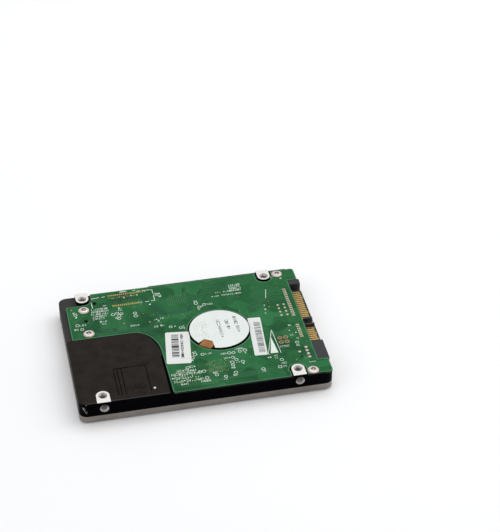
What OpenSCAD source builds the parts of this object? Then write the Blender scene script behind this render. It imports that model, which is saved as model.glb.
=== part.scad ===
// Small hard disk drive, 2.5 inch class, lying with its circuit board side up.
// X runs to the connector end, Y to the back long side, Z up from the cover's outer face.

/* [Case] */
// Overall length from the blank end to the tip of the connector
case_l = 100.2; // [100:0.1:100.4]
// Overall width over the two long sides
case_w = 69.85; // [69.6:0.05:70.1]
// Height of the four mounting faces above the cover
case_h = 9.5; // [9.45:0.05:9.6]
// Plan radius of the casting corners
corner_r = 3.2; // [2.4:0.1:4]
// Height at which the cover's skirt meets the casting
skirt_h = 3.28; // [2.9:0.02:3.5]
// Thickness of the cover's folded skirt
skirt_t = 0.7; // [0.6:0.05:0.75]

/* [Mounting holes] */
// Distance between the two holes along each long side
hole_pitch_x = 76.6; // [76.4:0.1:76.8]
// Distance between the bottom holes across the drive
hole_pitch_y = 61.72; // [61.6:0.02:61.9]
// Distance from the connector end to the nearer holes
hole_from_end = 14; // [13.8:0.1:14.2]
// Distance of the side holes below the mounting faces
side_hole_drop = 3; // [2.9:0.05:3.1]
// Radius of the tapped bore
tap_r = 1.25; // [1.2:0.01:1.3]
// Depth of every tapped bore
tap_depth = 3; // [2.8:0.1:3]
// Radius of the machined pad round a bottom hole
pad_r = 2.6; // [2.5:0.1:2.8]

/* [Circuit board] */
// Board thickness
pcb_t = 1; // [0.8:0.1:1]
// Distance of the board's outer face below the mounting faces
pcb_drop = 0.6; // [0.55:0.05:0.65]
// Radius of the board's opening round the motor
pcb_motor_r = 12.8; // [12.7:0.1:13]
// Radius of a board screw's head
pcb_screw_r = 1.8; // [1.6:0.1:2]

/* [Spindle and platters] */
// Position of the spindle along X
spindle_x = 11; // [10.9:0.1:11.1]
// Platter radius
platter_r = 32.5; // [32:0.1:32.5]
// Platter thickness
platter_t = 0.635; // [0.6:0.005:0.64]
// Height of the first platter above the cover's outer face
platter_z = 1.95; // [1.94:0.01:1.96]
// Distance from one platter to the next
platter_pitch = 2.25; // [2.24:0.01:2.26]
// Radius of the spindle shaft
shaft_r = 1.5; // [1.4:0.05:1.5]
// Radial clearance in the spindle bearing
shaft_gap = 0.03; // [0.02:0.01:0.05]
// Radius of the round sticker on the motor
sticker_r = 12.05; // [11.8:0.05:12.2]

/* [Actuator] */
// Distance from the pivot to the heads
head_reach = 31; // [30.8:0.1:31.2]
// Angle of the arms when they are parked on the ramp
park_angle = 63.3; // [63:0.1:63.6]
// Radial clearance on the pivot shaft
pivot_gap = 0.04; // [0.02:0.01:0.06]

/* [Connector] */
// Distance from one contact to the next
contact_pitch = 1.27; // [1.27]
// Number of power contacts
power_count = 15; // [15]
// Number of signal contacts
signal_count = 7; // [7]
// Distance of the contact faces below the mounting faces
contact_drop = 3.1; // [3:0.05:3.2]

/* [Hidden] */
$fn = 48;
x0 = -case_l / 2;
x1 = case_l / 2;
xe = x1 - 0.5;
yw = case_w / 2;
hole_x1 = x1 - hole_from_end;
hole_x0 = hole_x1 - hole_pitch_x;
hole_y = hole_pitch_y / 2;
side_z = case_h - side_hole_drop;
top_z = case_h - pcb_drop;
pcb_z = top_z - pcb_t;
deck_z = 7.75;
roof_z = 6.25;
relief_z = 6.85;
bulge_z = case_h - 0.05;
vault_z = case_h - 0.95;
motor_z = case_h - 0.2;
lid_in = 0.8;
rim_z0 = 0.35;
rim_z1 = 1.05;
seal_z = 1.3;
cavity_r = platter_r + 0.7;
p1 = platter_z;
p2 = platter_z + platter_pitch;
px = -28;
py = -3;
flex_a = 232;
boss_r = 12.3;
susp_t = 0.12;
arm_z = [p1 - 0.35 - 0.55, p1 + 1.1, p2 + platter_t + 0.335];
arm_t = [0.55, 0.7, 0.55];
susp_z = [p1 - 0.35, p1 + 0.91, p1 + 1.87, p2 + 0.85];
slider_z = [p1 - 0.23, p1 + 0.67, p1 + 1.99, p2 + 0.665];
slider_h = [0.21, 0.24, 0.23, 0.185];
screw_spots = [[-40.7, 24], [-40.6, 8.4], [41.9, -32.3], [42, 31.8]];
lid_screws = [[-46, -31], [-46, 31], [-1.5, -32.4], [-1.5, 32.4], [44.5, -30.5], [44.5, 30.5]];
component_bays = [[17, -28.4, 40.5, -11.5], [14, 14.5, 40, 29], [-9, -31, 9, -15.5]];
array_y = 4.8;
array_reach = 15.875;
contact_z = case_h - contact_drop;
plug_floor = 3.5;
power_y = [for (i = [0:power_count - 1]) array_y + array_reach - i * contact_pitch];
signal_y = [for (i = [0:signal_count - 1]) array_y - array_reach + i * contact_pitch];
jumper_y = [for (i = [0:3]) -18.15 - 2.03 * i];

// ---- outlines ----
function arc(cx, cy, r, a0, a1, n = 8) =
  [for (i = [0:n]) [cx + r * cos(a0 + (a1 - a0) * i / n), cy + r * sin(a0 + (a1 - a0) * i / n)]];
function oval_arc(cx, cy, a, b, a0, a1, n = 12) =
  [for (i = [0:n]) [cx + a * cos(a0 + (a1 - a0) * i / n), cy + b * sin(a0 + (a1 - a0) * i / n)]];
function round_box(ax, ay, bx, by, r) =
  concat(arc(bx - r, ay + r, r, -90, 0), arc(bx - r, by - r, r, 0, 90),
    arc(ax + r, by - r, r, 90, 180), arc(ax + r, ay + r, r, 180, 270));
function case_outline(inset) =
  round_box(x0 + inset, -yw + inset, xe - inset, yw - inset, corner_r - inset);
// A plan sector between two radii, in the pivot's own frame.
function sector(r0, r1, a0, a1, n = 16) = concat(arc(0, 0, r1, a0, a1, n), arc(0, 0, r0, a1, a0, n));
// A pad with one round end, running out to the long side s = -1 or 1.
function dee(x, s, r, out) =
  concat(arc(x, s * hole_y, r, s > 0 ? 180 : 0, s > 0 ? 360 : 180, 16),
    [[x + s * r, s * out], [x - s * r, s * out]]);
function bezier(a, b, c, d, n) =
  [for (i = [0:n]) let (t = i / n, u = 1 - t)
    u * u * u * a + 3 * u * u * t * b + 3 * u * t * t * c + t * t * t * d];
// The closed outline of a strip of width w along a path.
function strip(p, w) = let (
  n = len(p) - 1,
  d = [for (i = [0:n]) let (v = p[min(i + 1, n)] - p[max(i - 1, 0)]) v / norm(v)])
  concat([for (i = [0:n]) p[i] + [-d[i][1], d[i][0]] * w / 2],
    [for (i = [n:-1:0]) p[i] - [-d[i][1], d[i][0]] * w / 2]);

module plate(pts, za, zb) {
  translate([0, 0, za])
    linear_extrude(zb - za)
      polygon(pts);
}

module slab(ax, ay, bx, by, za, zb) {
  translate([ax, ay, za])
    cube([bx - ax, by - ay, zb - za]);
}

module disc(x, y, r, za, zb) {
  translate([x, y, za])
    cylinder(r = r, h = zb - za);
}

module ring(x, y, ra, rb, za, zb) {
  difference() {
    disc(x, y, rb, za, zb);
    disc(x, y, ra, za - 1, zb + 1);
  }
}

module at_pivot(a = 0) {
  translate([px, py, 0])
    rotate([0, 0, a])
      children();
}

// ---- casting ----
function bulge_outline() =
  concat([[x0 + 0.05, -yw + 3.2]], arc(x0 + 3.2, -yw + 3.2, 3.15, 180, 270),
    [[-14.9, -yw + 0.05]], oval_arc(-23.5, -9, 8.6, 13.4, 0, 90), arc(x0 + 1.2, 3.25, 1.15, 90, 180, 6));

module tapped_bore() {
  translate([0, 0, -tap_depth])
    cylinder(r = tap_r, h = tap_depth + 1);
  translate([0, 0, -0.5])
    cylinder(r1 = tap_r, r2 = tap_r + 0.5, h = 0.5);
}

module casting_body() {
  plate(case_outline(0), skirt_h, deck_z);
  plate(case_outline(skirt_t + 0.15), seal_z, skirt_h + 1);
  plate(bulge_outline(), deck_z - 1, bulge_z);
  disc(spindle_x, 0, boss_r, deck_z - 1, motor_z);
  for (s = [-1, 1])
    for (x = [hole_x0, hole_x1])
      plate(dee(x, s, pad_r, yw), deck_z - 1, case_h);
  for (s = [-1, 1])
    slab(-12.5, s > 0 ? yw - 0.4 : -yw, xe - 3.4, s > 0 ? yw : -yw + 0.4, deck_z - 1, top_z - 0.25);
}

// The coil vault's plan, a wall's thickness inside the raised housing over it.
function vault_outline() =
  concat(arc(-45.9, -30.8, 2.5, 180, 270), arc(-19.5, -30.8, 2.5, -90, 0),
    oval_arc(-24.5, -9, 7.5, 12.4, 0, 90), arc(-45.9, 0.9, 2.5, 90, 180));

// The sealed space inside: disk well, actuator bay, coil vault and motor well.
module inner_space() {
  disc(spindle_x, 0, cavity_r, 0, roof_z);
  difference() {
    plate(round_box(-48.4, -33.3, -6, 33.3, 2.5), 0, roof_z);
    bay_posts(roof_z + 1);
  }
  difference() {
    plate(vault_outline(), 1, vault_z);
    bay_posts(vault_z + 1);
  }
  disc(spindle_x, 0, 10.7, 1, motor_z - 0.8);
  // shallow recess in the well's ceiling, level with the side holes nearer the connector
  plate(round_box(26, -8, 40.5, 8, 1.5), roof_z - 0.1, relief_z - 0.05);
}

module bay_posts(zb) {
  for (s = [-1, 1]) {
    disc(-46, s * 31, 2.6, -1, zb);
    slab(hole_x0 - 3.4, s > 0 ? 27.6 : -yw, hole_x0 + 3.4, s > 0 ? yw : -27.6, -1, zb);
  }
  for (p = [screw_spots[0], screw_spots[1]])
    disc(p[0], p[1], 2, 4.4, zb);
}

// Grooves round three sides of a plain panel, and two more beside its left edge.
module engraved_mark() {
  d = 0.18;
  w = 0.36;
  for (x = [-34.6, -33.2, -31.6, -21.6 - w])
    slab(x, -32.2, x + w, -16 - w / 2, bulge_z - d, bulge_z + 1);
  slab(-34.6, -16 - w, -21.6, -16, bulge_z - d, bulge_z + 1);
}

module base_casting() {
  color([0.14, 0.13, 0.12])
    difference() {
      casting_body();
      inner_space();
      // relief under the board's components
      for (b = component_bays)
        plate(round_box(b[0], b[1], b[2], b[3], 1.5), relief_z, deck_z + 0.02);
      // pocket for the connector, and room for its tails
      slab(45.35, -26.3, x1 + 1, 26.5, plug_floor, case_h + 1);
      slab(44.7, -26, 46, 24, 5.95, 7);
      slab(41.2, -26, 46, 24, 6.95, case_h + 1);
      // the opening under the head connector
      slab(-32, 25.8, -16, 30.8, roof_z - 1, case_h + 1);
      // motor bearing seat and the groove for the motor's flex
      disc(spindle_x, 0, 3.3, 6, case_h);
      translate([spindle_x, 0, 0])
        rotate([0, 0, flex_a])
          slab(3, -3.2, 14, 3.2, motor_z - 0.14, case_h + 1);
      // board and cover screw holes
      for (p = screw_spots)
        disc(p[0], p[1], 0.8, 5.2, case_h + 1);
      for (p = lid_screws)
        disc(p[0], p[1], 0.8, 0, 3.6);
      for (s = [-1, 1])
        for (x = [hole_x0, hole_x1]) {
          translate([x, s * hole_y, case_h])
            tapped_bore();
          translate([x, s * yw, side_z])
            rotate([s > 0 ? -90 : 90, 0, 0])
              tapped_bore();
        }
      engraved_mark();
    }
}

// ---- cover ----
module cover() {
  color([0.40, 0.37, 0.35])
    difference() {
      union() {
        plate(round_box(-43, -28.5, 41, 28.5, 4), 0, lid_in);
        plate(case_outline(0.35), rim_z0, rim_z0 + 0.3);
        plate(case_outline(0.12), rim_z0 + 0.15, rim_z0 + 0.4);
        plate(case_outline(0), rim_z0 + 0.3, skirt_h);
      }
      plate(case_outline(skirt_t), rim_z1, skirt_h + 1);
      plate(round_box(-42, -27.5, 40, 27.5, 3.5), lid_in, rim_z1 + 0.1);
      plate(round_box(-22, -26, 38.5, 26, 1.5), -1, 0.08);
      for (p = lid_screws) {
        disc(p[0], p[1], 1.05, -1, 2);
        disc(p[0], p[1], 1.9, -1, rim_z0 + 0.42);
      }
      disc(px, py, 1.05, -1, 2);
      disc(px, py, 1.9, -1, 0.45);
      disc(-38, 20, 0.6, -1, 2);
    }
}

module cover_gasket() {
  color([0.12, 0.12, 0.12])
    difference() {
      plate(case_outline(skirt_t + 0.2), rim_z1, seal_z);
      plate(case_outline(skirt_t + 0.85), rim_z1 - 1, seal_z + 1);
    }
}

// A screw from below: flat head with a six-sided socket, plain shank.
module lid_screw(x, y, za, zb) {
  difference() {
    union() {
      disc(x, y, 1.75, za, za + 0.36);
      disc(x, y, 0.8, za + 0.2, zb);
    }
    translate([x, y, za - 1])
      cylinder(r = 0.75, h = 1.25, $fn = 6);
  }
}

module cover_screws() {
  color([0.72, 0.72, 0.70]) {
    for (p = lid_screws)
      lid_screw(p[0], p[1], rim_z0 + 0.06, 3.5);
    lid_screw(px, py, 0.08, 2.6);
  }
}

module cover_label() {
  color([0.90, 0.90, 0.87])
    plate(round_box(-21.8, -25.8, 38.3, 25.8, 1.3), 0, 0.08);
}

module breather_filter() {
  color([0.88, 0.87, 0.82])
    difference() {
      disc(-38, 20, 4, lid_in, 2.2);
      disc(-38, 20, 0.6, 0, 1.6);
    }
}

// ---- circuit board ----
function board_outline() = concat(
  [[-13.6, -33.2]], arc(-12.4, -33.2, 1.2, 180, 270, 5), arc(48.1, -33.1, 1.3, -90, 0, 5),
  [[49.4, -26.2], [45.3, -26.2], [45.3, 26.6], [49.4, 26.6]],
  arc(48.1, 32.9, 1.3, 0, 90, 5), [[-36.9, 34.2]],
  arc(hole_x0, hole_y, 3.6, 0, -74, 8), [[-42.3, 27.2]],
  arc(-46.9, 26.4, 0.8, 90, 180, 4), arc(-46.9, 6.1, 0.8, 180, 270, 4),
  oval_arc(-23.5, -9, 9.6, 14.3, 90, 0));

module pcb() {
  color([0.20, 0.42, 0.26])
    difference() {
      plate(board_outline(), pcb_z, top_z);
      disc(spindle_x, 0, pcb_motor_r, 0, 12);
      for (s = [-1, 1])
        plate(dee(hole_x1, s, pad_r + 0.65, yw + 1), 0, 12);
      for (p = screw_spots)
        disc(p[0], p[1], 1.1, 0, 12);
      disc(-35.9, 27.7, 0.95, 0, 12);
      disc(-40.7, 16.7, 0.85, 0, 12);
      disc(39.5, -23.4, 0.6, 0, 12);
      for (y = concat(power_y, signal_y))
        slab(42.1, y - 0.27, 42.9, y + 0.27, 0, 12);
      for (y = jumper_y)
        disc(42.4, y, 0.45, 0, 12);
    }
}

module pcb_screw(x, y) {
  difference() {
    union() {
      disc(x, y, pcb_screw_r, top_z, top_z + 0.3);
      translate([x, y, top_z + 0.3])
        cylinder(r1 = pcb_screw_r, r2 = pcb_screw_r - 0.5, h = 0.22);
      disc(x, y, 0.8, 5.6, top_z + 0.1);
    }
    translate([x, y, top_z + 0.12])
      cylinder(r = 0.85, h = 2, $fn = 6);
  }
}

module pcb_screws() {
  color([0.80, 0.76, 0.73])
    for (p = screw_spots)
      pcb_screw(p[0], p[1]);
}

// The foam sheet between the board and the casting, open where the components hang down.
module pcb_insulator() {
  color([0.16, 0.16, 0.18])
    difference() {
      plate(round_box(-12.5, -31.5, 40.8, 31.5, 1), deck_z, pcb_z);
      disc(spindle_x, 0, pcb_motor_r + 0.4, 0, 12);
      for (b = component_bays)
        plate(round_box(b[0], b[1], b[2], b[3], 1.5), 0, 12);
      for (s = [-1, 1])
        plate(dee(hole_x1, s, pad_r + 1, yw + 1), 0, 12);
      slab(-40, 24, -10, 40, 0, 12);
    }
}

// A leaded package hanging under the board, with its leads along both pairs of sides.
module package(x, y, w, d, h, pitch) {
  slab(x - w / 2, y - d / 2, x + w / 2, y + d / 2, pcb_z - h, pcb_z - 0.06);
  for (s = [-1, 1]) {
    for (i = [-floor(w / 2 / pitch - 1):floor(w / 2 / pitch - 1)])
      slab(x + i * pitch - 0.12, y + s * d / 2 - 0.45, x + i * pitch + 0.12, y + s * d / 2 + 0.45,
        pcb_z - 0.16, pcb_z);
    for (i = [-floor(d / 2 / pitch - 1):floor(d / 2 / pitch - 1)])
      slab(x + s * w / 2 - 0.45, y + i * pitch - 0.12, x + s * w / 2 + 0.45, y + i * pitch + 0.12,
        pcb_z - 0.16, pcb_z);
  }
}

module controller_chip() {
  color([0.09, 0.09, 0.10])
    package(29, -20.5, 12, 12, 0.95, 0.8);
}

module memory_chip() {
  color([0.09, 0.09, 0.10])
    package(27, 21.5, 11, 8, 0.9, 0.8);
}

module motor_driver_chip() {
  color([0.09, 0.09, 0.10])
    package(0, -23, 8, 8, 0.85, 0.8);
}

module pcb_passives() {
  color([0.60, 0.50, 0.38]) {
    for (i = [0:4]) {
      slab(18.2, -27.5 + 3 * i, 19.8, -26.7 + 3 * i, pcb_z - 0.6, pcb_z);
      slab(16, 15.6 + 2.4 * i, 17.6, 16.4 + 2.4 * i, pcb_z - 0.6, pcb_z);
    }
    for (i = [0:3])
      slab(35.6, 17.2 + 2.6 * i, 37.6, 18.4 + 2.6 * i, pcb_z - 0.7, pcb_z);
    for (x = [5.4, 7])
      slab(x, -29, x + 1, -26.8, pcb_z - 0.8, pcb_z);
    slab(-7.5, -29.5, -5.2, -26.5, pcb_z - 0.85, pcb_z);
  }
}

// Bare contact pads of the head connector, on the board's outer face.
module connector_pads() {
  color([0.72, 0.60, 0.36]) {
    for (i = [0:19])
      slab(-29.8 + 0.8 * i, 31.1, -29.35 + 0.8 * i, 32, top_z, top_z + 0.05);
    for (i = [0:13])
      slab(-28.8 + 0.8 * i, 23.9, -28.35 + 0.8 * i, 24.9, top_z, top_z + 0.05);
  }
}

// ---- connector ----
module tongue(ya, yb) {
  slab(46.3, ya, x1 - 0.25, yb, contact_z - 1.23, contact_z);
  slab(x1 - 0.3, ya + 0.2, x1, yb - 0.2, contact_z - 1.05, contact_z - 0.18);
}

module sata_housing() {
  color([0.10, 0.10, 0.11])
    difference() {
      union() {
        slab(45.4, -26.1, 46.6, 26.4, plug_floor, contact_z + 0.2);
        tongue(1.1, array_y + 17.0);
        tongue(array_y - 17.0, -1.7);
        slab(46.3, 1.1, x1 - 0.25, 2.1, contact_z - 1, contact_z + 1.2);
        slab(46.3, -2.7, x1 - 0.25, -1.7, contact_z - 1, contact_z + 1.2);
        slab(45.4, 23.4, x1, 26.4, plug_floor, top_z);
        slab(45.4, -26.1, x1 - 0.1, -15.2, plug_floor, top_z);
        slab(45.4, -17, x1, -14.6, plug_floor, top_z - 0.2);
      }
      for (y = power_y)
        slab(45, y - 0.44, x1 - 0.4, y + 0.44, contact_z - 0.1, contact_z + 1);
      for (y = signal_y)
        slab(45, y - 0.44, x1 - 0.4, y + 0.44, contact_z - 0.1, contact_z + 1);
      slab(47, -25.4, x1 + 1, -17.6, 4.7, 7.9);
      for (y = jumper_y)
        slab(45, y - 0.26, 48, y + 0.26, 6.04, 6.56);
    }
}

// One spring contact: a soldered tail through the board, a step down, and the contact strip.
module contact(y, tip) {
  slab(42.2, y - 0.2, 42.75, y + 0.2, 7.2, top_z + 0.25);
  slab(42.2, y - 0.2, 45.25, y + 0.2, 7.2, 7.45);
  slab(45, y - 0.2, 45.35, y + 0.2, contact_z - 0.1, 7.45);
  slab(45, y - 0.42, tip, y + 0.42, contact_z - 0.1, contact_z + 0.06);
}

module power_contacts() {
  color([0.83, 0.68, 0.36])
    for (i = [0:power_count - 1])
      contact(power_y[i], x1 - (i == 3 || i == 11 ? 0.45 : 0.8));
}

module signal_contacts() {
  color([0.83, 0.68, 0.36])
    for (i = [0:signal_count - 1])
      contact(signal_y[i], x1 - (i % 3 == 0 ? 0.45 : 0.8));
}

module jumper_pins() {
  color([0.78, 0.74, 0.62])
    for (y = jumper_y) {
      slab(45, y - 0.25, 49.6, y + 0.25, 6.05, 6.55);
      slab(42.15, y - 0.25, 45.3, y + 0.25, 7, 7.4);
      slab(44.8, y - 0.25, 45.3, y + 0.25, 6.05, 7.4);
      slab(42.15, y - 0.25, 42.65, y + 0.25, 7, top_z + 0.35);
    }
}

// ---- labels ----
module barcode_label() {
  color([0.89, 0.90, 0.88])
    difference() {
      translate([-7.2, -7.85, 0])
        rotate([0, 0, -7.7])
          plate(round_box(-4.9, -9.9, 4.9, 9.9, 0.9), top_z, top_z + 0.07);
      disc(spindle_x, 0, boss_r + 0.15, 0, 12);
    }
}

function sticker_outline() = concat(
  arc(0, 0, sticker_r, -109, 216, 48), [[-7.2, -5.2], [-4.2, -7]]);

module motor_sticker() {
  color([0.90, 0.92, 0.90])
    translate([spindle_x, 0, 0])
      plate(sticker_outline(), motor_z, motor_z + 0.09);
}

// The motor's flat lead, from under the sticker over the boss's edge and down past the board.
module motor_flex() {
  color([0.60, 0.44, 0.26])
    translate([spindle_x, 0, 0])
      rotate([0, 0, flex_a]) {
        slab(3.5, -2.6, boss_r + 0.12, 2.6, motor_z - 0.14, motor_z - 0.06);
        slab(boss_r + 0.04, -2.6, boss_r + 0.12, 2.6, deck_z, motor_z - 0.06);
        slab(boss_r + 0.04, -2.6, boss_r + 0.5, 2.6, deck_z, deck_z + 0.08);
      }
}

// ---- spindle motor, fixed part ----
module motor_sleeve() {
  color([0.75, 0.62, 0.40])
    ring(spindle_x, 0, shaft_r + shaft_gap, 3.3, 3.65, motor_z - 0.45);
}

module motor_end_cap() {
  color([0.72, 0.72, 0.72])
    disc(spindle_x, 0, 3.3, motor_z - 0.4, motor_z - 0.15);
}

module stator_core() {
  color([0.45, 0.46, 0.48])
    difference() {
      disc(spindle_x, 0, 7.7, 5.9, 7.3);
      disc(spindle_x, 0, 3.3, 5, 8);
      for (i = [0:8])
        translate([spindle_x, 0, 0])
          rotate([0, 0, 40 * i + 20]) {
            plate(sector(4.6, 7, -16, 16, 6), 5, 8);
            slab(6.5, -0.4, 9, 0.4, 5, 8);
          }
    }
}

module stator_coils() {
  color([0.75, 0.42, 0.22])
    for (i = [0:8])
      translate([spindle_x, 0, 0])
        rotate([0, 0, 40 * i])
          difference() {
            slab(4.85, -1.15, 6.85, 1.15, 5.6, 7.6);
            slab(4, -0.5, 8, 0.5, 5.9, 7.3);
          }
}

// ---- spindle motor, turning part ----
module spindle_hub() {
  color([0.78, 0.79, 0.80])
    difference() {
      union() {
        disc(spindle_x, 0, 9.95, platter_z - 0.02, 8.1);
        disc(spindle_x, 0, 12.4, p2 + platter_t, 5.5);
      }
      disc(spindle_x, 0, 8.6, 3.4, 9);
      disc(spindle_x, 0, shaft_r, 0, 9);
      for (i = [0:4])
        translate([spindle_x, 0, 0])
          rotate([0, 0, 72 * i])
            disc(6, 0, 0.55, 0, 3.2);
    }
}

module spindle_shaft() {
  color([0.82, 0.83, 0.84])
    disc(spindle_x, 0, shaft_r, platter_z, motor_z - 0.5);
}

module rotor_magnet() {
  color([0.30, 0.30, 0.32])
    ring(spindle_x, 0, 8, 8.6, 5.6, 8);
}

module platter(z) {
  color([0.80, 0.81, 0.83])
    ring(spindle_x, 0, 9.95, platter_r, z, z + platter_t);
}

module platter_lower() {
  platter(p1);
}

module platter_upper() {
  platter(p2);
}

module platter_spacer() {
  color([0.74, 0.75, 0.76])
    ring(spindle_x, 0, 9.95, 12.2, p1 + platter_t, p2);
}

module disk_clamp() {
  color([0.76, 0.77, 0.78])
    difference() {
      union() {
        disc(spindle_x, 0, 11.9, 1.35, platter_z - 0.02);
        ring(spindle_x, 0, 10.6, 11.9, 1.35, platter_z);
      }
      disc(spindle_x, 0, 2.6, 0, 3);
      for (i = [0:4])
        translate([spindle_x, 0, 0])
          rotate([0, 0, 72 * i]) {
            disc(6, 0, 0.65, 0, 3);
            rotate([0, 0, 36])
              disc(7.6, 0, 0.8, 0, 3);
          }
    }
}

module clamp_screws() {
  color([0.70, 0.70, 0.70])
    for (i = [0:4])
      translate([spindle_x, 0, 0])
        rotate([0, 0, 72 * i])
          difference() {
            union() {
              disc(6, 0, 1.25, 0.98, 1.35);
              disc(6, 0, 0.55, 1.2, 3.1);
            }
            translate([6, 0, 0.5])
              cylinder(r = 0.5, h = 0.7, $fn = 6);
          }
}

// ---- actuator, fixed part ----
module pivot_shaft() {
  color([0.76, 0.77, 0.78])
    difference() {
      union() {
        disc(px, py, 2, lid_in, vault_z);
        disc(px, py, 3.2, 6.3, vault_z);
      }
      disc(px, py, 0.8, 0, 2.8);
    }
}

vcm_posts = [[px + 14 * cos(164), py + 14 * sin(164)], [px + 14 * cos(282), py + 14 * sin(282)]];

// Plan of the voice coil motor's plates, with an ear round each spacer post.
module yoke(za, zb) {
  difference() {
    union() {
      at_pivot()
        plate(sector(8, 20, 178, 268), za, zb);
      for (p = vcm_posts)
        disc(p[0], p[1], 2.3, za, zb);
      at_pivot() {
        plate(sector(11.5, 16.5, 163, 180, 4), za, zb);
        plate(sector(11.5, 16.5, 266, 283, 4), za, zb);
      }
    }
    for (p = vcm_posts)
      disc(p[0], p[1], 0.9, 0, 12);
  }
}

module vcm_top_yoke() {
  color([0.66, 0.67, 0.68])
    yoke(7.35, vault_z);
}

module vcm_bottom_yoke() {
  color([0.66, 0.67, 0.68])
    yoke(1.6, 2.9);
}

module vcm_magnet(za, zb) {
  color([0.55, 0.56, 0.58])
    at_pivot()
      plate(sector(10, 19.2, 184, 262), za, zb);
}

module vcm_top_magnet() {
  vcm_magnet(6.5, 7.35);
}

module vcm_bottom_magnet() {
  vcm_magnet(2.9, 3.75);
}

module vcm_spacers() {
  color([0.70, 0.70, 0.70])
    for (p = vcm_posts) {
      disc(p[0], p[1], 1.3, 2.9, 7.35);
      disc(p[0], p[1], 0.9, 1.2, vault_z);
      disc(p[0], p[1], 1.6, 1.2, 1.6);
    }
}

module crash_stops() {
  color([0.10, 0.10, 0.10])
    for (p = vcm_posts)
      ring(p[0], p[1], 1.3, 1.95, 4.2, 6);
}

// ---- load ramp ----
module load_ramp() {
  color([0.86, 0.84, 0.76])
    difference() {
      union() {
        at_pivot() {
          plate(sector(31.75, 35.2, 56, 67.5, 6), p1 - 0.19, p1 + 0.87);
          plate(sector(31.75, 35.2, 56, 67.5, 6), p2 - 0.22, p2 + 0.81);
          plate(sector(34.9, 38, 57, 67.5, 6), 1.5, roof_z);
        }
      }
      disc(spindle_x, 0, platter_r + 0.5, p1 - 0.06, p1 + platter_t + 0.06);
      disc(spindle_x, 0, platter_r + 0.5, p2 - 0.06, p2 + platter_t + 0.06);
      at_pivot(63)
        disc(36.5, 0, 0.7, 0, roof_z + 1);
    }
}

module ramp_screw() {
  color([0.70, 0.70, 0.70])
    at_pivot(63)
      difference() {
        union() {
          disc(36.5, 0, 1.2, 1.1, 1.5);
          disc(36.5, 0, 0.7, 1.3, roof_z);
        }
        translate([36.5, 0, 0.5])
          cylinder(r = 0.5, h = 0.8, $fn = 6);
      }
}

// ---- head connector and flex ----
module head_connector() {
  color([0.14, 0.13, 0.12]) {
    slab(-31.9, 25.9, -16.1, 30.7, 5.3, pcb_z);
    slab(-33, 25.2, -15.2, 31.6, 5.3, roof_z);
  }
}

module head_connector_pins() {
  color([0.83, 0.68, 0.36])
    for (i = [0:17])
      for (y = [26.6, 29.5])
        slab(-31.2 + 0.85 * i, y, -30.8 + 0.85 * i, y + 0.5, 5.1, 5.3);
}

module flex_bracket() {
  color([0.62, 0.63, 0.64]) {
    slab(-33, 19.2, -17, 25.1, 5.6, roof_z);
    slab(-30.6, 19.2, -25.6, 20.2, 2.2, 5.7);
  }
}

flex_path = bezier([-33.2, 0.35], [-37.5, 4.4], [-40, 15], [-28.1, 19.05], 14);

module head_flex() {
  color([0.72, 0.47, 0.22])
    plate(strip(flex_path, 0.14), 2.4, 5.4);
}

// ---- latch ----
latch_x = -21;
latch_y = -24;

module latch_post() {
  color([0.72, 0.72, 0.72]) {
    disc(latch_x, latch_y, 0.8, 3.6, vault_z);
    disc(latch_x, latch_y, 1.5, 6.2, vault_z);
    disc(latch_x, latch_y, 1.3, 3.3, 3.9);
  }
}

module latch_lever() {
  color([0.20, 0.20, 0.20])
    difference() {
      union() {
        disc(latch_x, latch_y, 1.8, 4.1, 6);
        plate(strip([[latch_x, latch_y], [-24, -25], [-27, -25.4], [-30, -25.3], [-32.6, -24.7]], 1.1),
          4.3, 5.8);
        plate([[-33.2, -25.2], [-32.2, -25.2], [-32, -23.3], [-32.8, -23.2]], 4.3, 5.8);
        slab(latch_x + 1, latch_y - 1.2, latch_x + 4.4, latch_y + 1.2, 4.1, 6);
      }
      disc(latch_x, latch_y, 0.84, 0, 9);
    }
}

// ---- filters ----
module recirculation_filter() {
  color([0.90, 0.89, 0.85])
    plate(round_box(-16.5, -32.7, -10, -29.4, 0.8), seal_z + 0.3, roof_z);
}

module desiccant_pack() {
  color([0.86, 0.85, 0.80])
    plate(round_box(-36, -32.7, -27.5, -27.2, 1), seal_z + 0.3, vault_z);
}

// ---- actuator, moving part ----
arm_outline =
  [[2, -4.6], [8, -3.9], [16, -2.7], [21.6, -2.2], [21.6, 2.2], [16, 2.7], [8, 3.9], [2, 4.6]];

module arm_block() {
  color([0.76, 0.77, 0.78])
    at_pivot(park_angle)
      difference() {
        union() {
          disc(0, 0, 5.5, arm_z[0], 5.75);
          for (i = [0:2])
            plate(arm_outline, arm_z[i], arm_z[i] + arm_t[i]);
        }
        disc(0, 0, 4.2, 0, 12);
        slab(-2.5, 5.05, 3.1, 6, 0, 12);
        disc(10.6, 0, 1.8, 0, 12);
        disc(15.2, 0, 1.2, 0, 12);
        disc(19.4, 0, 1, 0, 12);
      }
}

module pivot_sleeve() {
  color([0.70, 0.71, 0.72])
    ring(px, py, 2.95, 4.2, 1.3, 6);
}

module pivot_bearings() {
  color([0.80, 0.80, 0.80]) {
    ring(px, py, 2 + pivot_gap, 2.95, 1.4, 2.9);
    ring(px, py, 2 + pivot_gap, 2.95, 4.4, 5.9);
  }
}

module coil_frame() {
  color([0.16, 0.16, 0.15])
    at_pivot(park_angle)
      difference() {
        union() {
          plate(sector(5.5, 11, 150, 210), 4.15, 5.75);
          for (a = [153, 204])
            plate(sector(9.5, 19.4, a, a + 3, 3), 4.1, 6.1);
          plate(sector(13.2, 16.8, 167, 193, 8), 4.3, 5.9);
          plate(sector(19, 19.95, 200, 204.5, 3), 4.3, 5.9);
          plate(sector(18.9, 19.4, 155, 205, 16), 4.1, 6.1);
        }
        translate([-8.3, 0, 0])
          disc(0, 0, 1, 0, 12);
      }
}

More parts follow.
